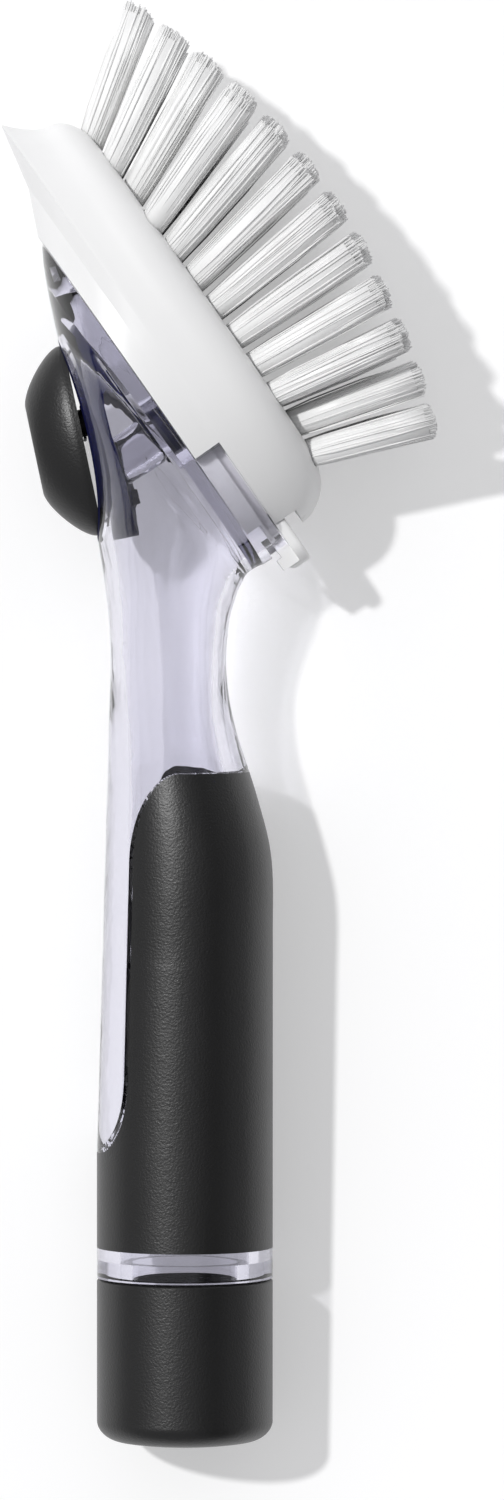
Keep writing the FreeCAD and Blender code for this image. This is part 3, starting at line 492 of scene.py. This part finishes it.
@dataclass
class ReturnSpring:
    """Coil spring that the button squeezes against the pump cup."""

    node: str = "return_spring"
    joint: str = "button_press"
    weld: float = 0.001 * MILLIMETRE

    def build(self) -> None:
        """Rebuild the spring as a steel piece that moves with the handle."""
        press = next(joint for joint in frame["joints"] if joint["name"] == self.joint)
        axis = Vector(press["axis"]).normalized()
        bm = bmesh.new()
        bm.from_mesh(frame["nodes"][self.node].data)
        bmesh.ops.remove_doubles(bm, verts=list(bm.verts), dist=self.weld)
        heights = [vert.co.dot(axis) for vert in bm.verts]
        length = max(heights) - min(heights)
        piece = add_piece("return_spring_coil", bm, Finish.STEEL, "handle")
        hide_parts(self.node)
        1.0 - press["range_m"][1] / length
        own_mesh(piece)


@dataclass
class ThumbButton:
    """Soft button with its stiff core."""

    def build(self) -> None:
        """Dress the button."""
        dress("button_cap", Finish.SOFT_BLACK)
        dress("button_core", Finish.BLACK)


@dataclass
class ScrewCap:
    """Screw cap with its threaded liner and gasket."""

    def build(self) -> None:
        """Dress the cap."""
        dress("cap_shell", Finish.SOFT_BLACK)
        dress("cap_core", Finish.BLACK)
        dress("cap_gasket", Finish.SEAL)


@dataclass(frozen=True)
class Tuft:
    """Where one tuft stands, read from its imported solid."""

    root: Vector
    tip: Vector
    root_radius: float
    tip_radius: float
    tip_normal: Vector

    @classmethod
    def from_faces(cls, faces: list[bmesh.types.BMFace]) -> "Tuft":
        """Read a tuft from the faces of its solid.

        Args:
            faces: The faces, which point outwards.

        Returns:
            The tuft, with its narrow end as its root.
        """
        points = np.array([tuple(vert.co) for vert in {vert for face in faces for vert in face.verts}])
        axis = Vector(np.linalg.svd(points - points.mean(0))[2][0])
        ends = [cls._end(faces, axis), cls._end(faces, -axis)]
        (root, _, narrow), (tip, normal, wide) = sorted(ends, key=lambda end: end[2])
        return cls(root, tip, narrow, wide, normal)

    @staticmethod
    def _end(faces: list[bmesh.types.BMFace], axis: Vector) -> tuple[Vector, Vector, float]:
        """Find the flat end that faces along an axis.

        Args:
            faces: Faces of the solid.
            axis: Direction that the end faces.

        Returns:
            The end's centre, its normal and its radius.
        """
        flat = [face for face in faces if face.normal.dot(axis) > END_FACING]
        area = sum(face.calc_area() for face in flat)
        centre = sum((face.calc_center_median() * face.calc_area() for face in flat), Vector()) / area
        normal = sum((face.normal * face.calc_area() for face in flat), Vector()).normalized()
        return centre, normal, math.sqrt(area / math.pi)


@dataclass
class BrushHead:
    """White head with its release tab, anchors and filament tufts."""

    filaments_per_tuft: int = 280
    filament_radius: float = 0.14 * MILLIMETRE
    filament_sides: int = 5
    filament_segments: int = 3
    root_fill: float = 0.93
    tip_fill: float = 1.0
    tip_wander: float = 0.22 * MILLIMETRE
    bow: float = 0.22 * MILLIMETRE
    ragged: float = 0.45 * MILLIMETRE
    tip_undercut: float = 0.25
    shell_start: float = 0.3
    heart_fill: float = 0.985
    heart_sides: int = 16
    heart_short: float = 0.9 * MILLIMETRE
    void_faces: int = 12
    first_seed: int = 71
    rows: tuple[str, ...] = field(
        default_factory=lambda: tuple(sorted(n for n in frame["nodes"] if n.startswith("tuft_row")))
    )

    def build(self) -> None:
        """Dress the block and tab, and build the filaments of every row."""
        dress("brush_block", Finish.WHITE)
        dress("release_tab", Finish.WHITE)
        dress("tuft_anchors", Finish.STEEL)
        template = self._filament()
        for number, row in enumerate(self.rows):
            self._build_row(row, template, random.Random(self.first_seed + number))
        bpy.data.meshes.remove(template)

    def _filament(self) -> bpy.types.Mesh:
        """Model one filament along z, with its length from 0 to 1.

        Returns:
            A mesh that every filament is a bent copy of.
        """
        bm = bmesh.new()
        bmesh.ops.create_circle(
            bm, cap_ends=True, segments=self.filament_sides, radius=self.filament_radius
        )
        end = list(bm.faces)
        for _ in range(self.filament_segments):
            grown = bmesh.ops.extrude_face_region(bm, geom=end)["geom"]
            end = [item for item in grown if isinstance(item, bmesh.types.BMFace)]
            moved = [item for item in grown if isinstance(item, bmesh.types.BMVert)]
            bmesh.ops.translate(bm, verts=moved, vec=(0, 0, 1.0 / self.filament_segments))
        bmesh.ops.recalc_face_normals(bm, faces=list(bm.faces))
        for face in bm.faces:
            face.smooth = len(face.verts) == 4
        mesh = bpy.data.meshes.new("filament")
        bm.to_mesh(mesh)
        bm.free()
        return mesh

    def _tufts(self, row: str) -> Iterable[Tuft]:
        """Read the tufts of one packed row.

        Args:
            row: Name of the row's node.

        Yields:
            Each tuft.
        """
        bm = bmesh.new()
        bm.from_mesh(frame["nodes"][row].data)
        bmesh.ops.remove_doubles(bm, verts=list(bm.verts), dist=0.001 * MILLIMETRE)
        bm.normal_update()
        waiting = set(bm.faces)
        while waiting:
            reached = [waiting.pop()]
            group = []
            while reached:
                face = reached.pop()
                group.append(face)
                linked = {other for edge in face.edges for other in edge.link_faces} & waiting
                waiting -= linked
                reached.extend(linked)
            if len(group) > self.void_faces:
                yield Tuft.from_faces(group)
        bm.free()

    def _build_row(self, row: str, template: bpy.types.Mesh, draw: random.Random) -> None:
        """Fill one row with filaments.

        Args:
            row: Name of the row's node, which the filaments replace.
            template: Mesh of one filament.
            draw: Seeded source of the row's small differences.
        """
        bm = bmesh.new()
        tufts = sorted(self._tufts(row), key=lambda tuft: tuple(tuft.root))
        for tuft in tufts:
            for _ in range(self.filaments_per_tuft):
                self._add_filament(bm, template, tuft, draw)
        for tuft in tufts:
            self._add_heart(bm, tuft)
        piece = add_piece(row + "_filaments", bm, Finish.NYLON, "brush_head")
        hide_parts(row)

    def _add_heart(self, bm: bmesh.types.BMesh, tuft: Tuft) -> None:
        """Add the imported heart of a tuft, which the filaments stand round and hide.

        Args:
            bm: Mesh that it is added to.
            tuft: The tuft that it belongs to.
        """
        run = tuft.tip - tuft.root
        run *= 1.0 - self.heart_short / run.length
        turn = run.to_track_quat("Z", "Y").to_matrix().to_4x4()
        made = bmesh.ops.create_cone(
            bm,
            cap_ends=True,
            segments=self.heart_sides,
            radius1=tuft.root_radius * self.heart_fill,
            radius2=tuft.tip_radius * self.heart_fill,
            depth=run.length,
            matrix=Matrix.Translation(tuft.root + run * 0.5) @ turn,
        )
        for face in {face for vert in made["verts"] for face in vert.link_faces}:
            face.smooth = len(face.verts) == 4

    def _add_filament(
        self, bm: bmesh.types.BMesh, template: bpy.types.Mesh, tuft: Tuft, draw: random.Random
    ) -> None:
        """Add one bent filament of a tuft.

        Args:
            bm: Mesh that it is added to.
            template: Mesh of one filament.
            tuft: The tuft that it belongs to.
            draw: Source of its place, bend and length.
        """
        axis = (tuft.tip - tuft.root).normalized()
        side = axis.orthogonal().normalized()
        up = axis.cross(side)
        reach = math.sqrt(draw.uniform(self.shell_start, 1.0))
        turn = draw.uniform(0.0, 2.0 * math.pi)
        outward = side * math.cos(turn) + up * math.sin(turn)
        root = tuft.root + outward * (reach * tuft.root_radius * self.root_fill)
        wander = side * draw.gauss(0.0, self.tip_wander) + up * draw.gauss(0.0, self.tip_wander)
        tip = tuft.tip + outward * (reach * tuft.tip_radius * self.tip_fill) + wander
        run = tip - root
        level = Vector((tuft.tip_normal.x, tuft.tip_normal.y, 0.0)).normalized()
        cut = level - Vector((0.0, 0.0, self.tip_undercut))
        trim = (tuft.tip - root).dot(cut) / run.dot(cut)
        run *= trim
        run *= 1.0 - abs(draw.gauss(0.0, self.ragged)) / run.length
        bend = (side * draw.gauss(0.0, 1.0) + up * draw.gauss(0.0, 1.0)) * self.bow
        first = len(bm.verts)
        bm.from_mesh(template)
        bm.verts.ensure_lookup_table()
        for vert in bm.verts[first:]:
            share = vert.co.z
            line = root + run * share + bend * (BOW_PEAK * share * (1.0 - share))
            vert.co = line + side * vert.co.x + up * vert.co.y


@dataclass
class Studio:
    """Pale floor, soft light and the camera above."""

    floor_half: float = 3.0
    floor_level: float = -0.2 * MILLIMETRE
    floor_colour: Colour = (0.96, 0.96, 0.96, 1.0)
    floor_shade: Colour = (0.67, 0.67, 0.67, 1.0)
    floor_glow: float = 0.38
    reflection_fade_edge: tuple[float, float] = (0.25, 0.55)
    # Painted dark reflection: the floor's colour far from the wand, seen only by glossy and transmission
    # rays.
    painted_dark_reflection: Colour = (0.05, 0.05, 0.06, 1.0)
    key_direction: tuple[float, float, float] = (-0.52, 0.31, 1.0)
    key_strength: float = 1.95
    key_angle: float = math.radians(2.5)
    room_colour: Colour = (0.97, 0.97, 1.0, 1.0)
    room_level: float = 0.42
    flag_level: float = 0.10
    flag_edge: tuple[float, float] = (0.25, 0.50)
    flag_end: tuple[float, float] = (0.70, 0.86)
    window_level: float = 0.75
    window_edge: tuple[float, float] = (0.38, 0.55)
    camera_distance: float = 1.5
    view_height: float = 272.7 * MILLIMETRE
    view_centre: tuple[float, float, float] = (6.0 * MILLIMETRE, -4.48 * MILLIMETRE, 18.0 * MILLIMETRE)
    sensor: float = 36.0

    def build(self) -> None:
        """Set up the floor, the world, the key lamp and the camera."""
        self._build_floor()
        self._build_world()
        self._build_key()
        self._build_camera()
        bpy.context.scene.view_settings.view_transform = "Standard"

    def _build_floor(self) -> None:
        """Lay a wide pale floor under the wand, which clear and glossy pieces see only near the wand:
        further off they show a painted dark reflection of it.
        """
        bm = bmesh.new()
        bmesh.ops.create_grid(bm, x_segments=1, y_segments=1, size=self.floor_half)
        bmesh.ops.translate(bm, verts=list(bm.verts), vec=(0, 0, self.floor_level))
        mesh = bpy.data.meshes.new("studio_floor")
        bm.to_mesh(mesh)
        bm.free()
        material, graph = new_material("studio_floor_finish")
        path = graph.make("ShaderNodeLightPath", {}, {})
        camera, gloss, through = (
            Value(graph, path.outputs[ray])
            for ray in ("Is Camera Ray", "Is Glossy Ray", "Is Transmission Ray")
        )
        unseen = (1.0 - camera) * (1.0 - gloss) * (1.0 - through)
        card = graph.add("ShaderNodeBsdfDiffuse", {}, {"Color": self.floor_colour})
        shaded = graph.add("ShaderNodeBsdfDiffuse", {}, {"Color": self.floor_shade})
        glow = graph.add("ShaderNodeEmission", {}, {"Color": grey(1.0), "Strength": self.floor_glow})
        seen = graph.add("ShaderNodeAddShader", {}, {0: shaded, 1: glow})
        white = graph.add("ShaderNodeMixShader", {}, {0: unseen, 1: seen, 2: card})
        # Painted dark reflection: beyond this edge, glossy and transmission rays see the floor dark, while
        # the camera and diffuse bounces still see it pale.
        reach = graph.add("ShaderNodeVectorMath", {"operation": "LENGTH"}, {0: graph.place()}, "Value")
        dark_reflection_share = graph.step(reach, self.reflection_fade_edge) * (1.0 - camera) * (1.0 - unseen)
        painted_dark_floor = graph.add("ShaderNodeBsdfDiffuse", {}, {"Color": self.painted_dark_reflection})
        surface = graph.add("ShaderNodeMixShader", {}, {0: dark_reflection_share, 1: white, 2: painted_dark_floor})
        graph.make("ShaderNodeOutputMaterial", {}, {"Surface": surface})
        mesh.materials.append(material)
        floor = bpy.data.objects.new("studio_floor", mesh)
        bpy.context.scene.collection.objects.link(floor)
        floor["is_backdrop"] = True

    def _build_world(self) -> None:
        """Light the room: soft all round, brighter at the head's end, with a dark card up to the right."""
        world = bpy.data.worlds.new("studio_world")
        bpy.context.scene.world = world
        world.use_nodes = True
        graph = Graph(world.node_tree)
        sky = graph.add("ShaderNodeTexCoord", {}, {}, "Generated")
        split = graph.make("ShaderNodeSeparateXYZ", {}, {0: sky})
        across = Value(graph, split.outputs["X"])
        right = graph.step(across, self.flag_edge) * (1.0 - graph.step(across, self.flag_end))
        headward = graph.step(Value(graph, split.outputs["Y"]), self.window_edge)
        room = self.room_level - (self.room_level - self.flag_level) * right
        level = room * (1.0 - headward) + self.window_level * headward
        seen = graph.add("ShaderNodeLightPath", {}, {}, "Is Camera Ray")
        strength = level * (1.0 - seen) + seen
        light = graph.add("ShaderNodeBackground", {}, {"Color": self.room_colour, "Strength": strength})
        graph.make("ShaderNodeOutputWorld", {}, {"Surface": light})

    def _build_key(self) -> None:
        """Hang the key lamp, up to the left."""
        lamp = bpy.data.lights.new("key_lamp", "SUN")
        lamp.energy = self.key_strength
        lamp.angle = self.key_angle
        lamp.cycles.use_multiple_importance_sampling = False
        towards = Vector(self.key_direction).normalized()
        holder = bpy.data.objects.new("key_lamp", lamp)
        holder.matrix_world = towards.to_track_quat("Z", "Y").to_matrix().to_4x4()
        bpy.context.scene.collection.objects.link(holder)

    def _build_camera(self) -> None:
        """Hang the camera straight above the wand."""
        lens = bpy.data.cameras.new("photo_camera")
        lens.sensor_fit = "VERTICAL"
        lens.sensor_height = self.sensor
        lens.lens = self.sensor * self.camera_distance / self.view_height
        camera = bpy.data.objects.new("photo_camera", lens)
        camera.location = Vector(self.view_centre) + Vector((0, 0, self.camera_distance))
        bpy.context.scene.collection.objects.link(camera)
        bpy.context.scene.camera = camera


def write_sizes() -> None:
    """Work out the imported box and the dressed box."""
    boxes = {"cad": CAD_BOX, "visual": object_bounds()}
    plain = {name: [[float(value) for value in corner] for corner in box] for name, box in boxes.items()}


def main() -> None:
    """Build the wand's looks and the studio."""
    logging.basicConfig(level=logging.INFO, format="%(name)s: %(message)s")
    for assembly in (Handle(), ReturnSpring(), ThumbButton(), ScrewCap(), BrushHead(), Studio()):
        assembly.build()
        LOG.info("%s done", type(assembly).__name__)
    write_sizes()


if __name__ == "__main__":
    main()
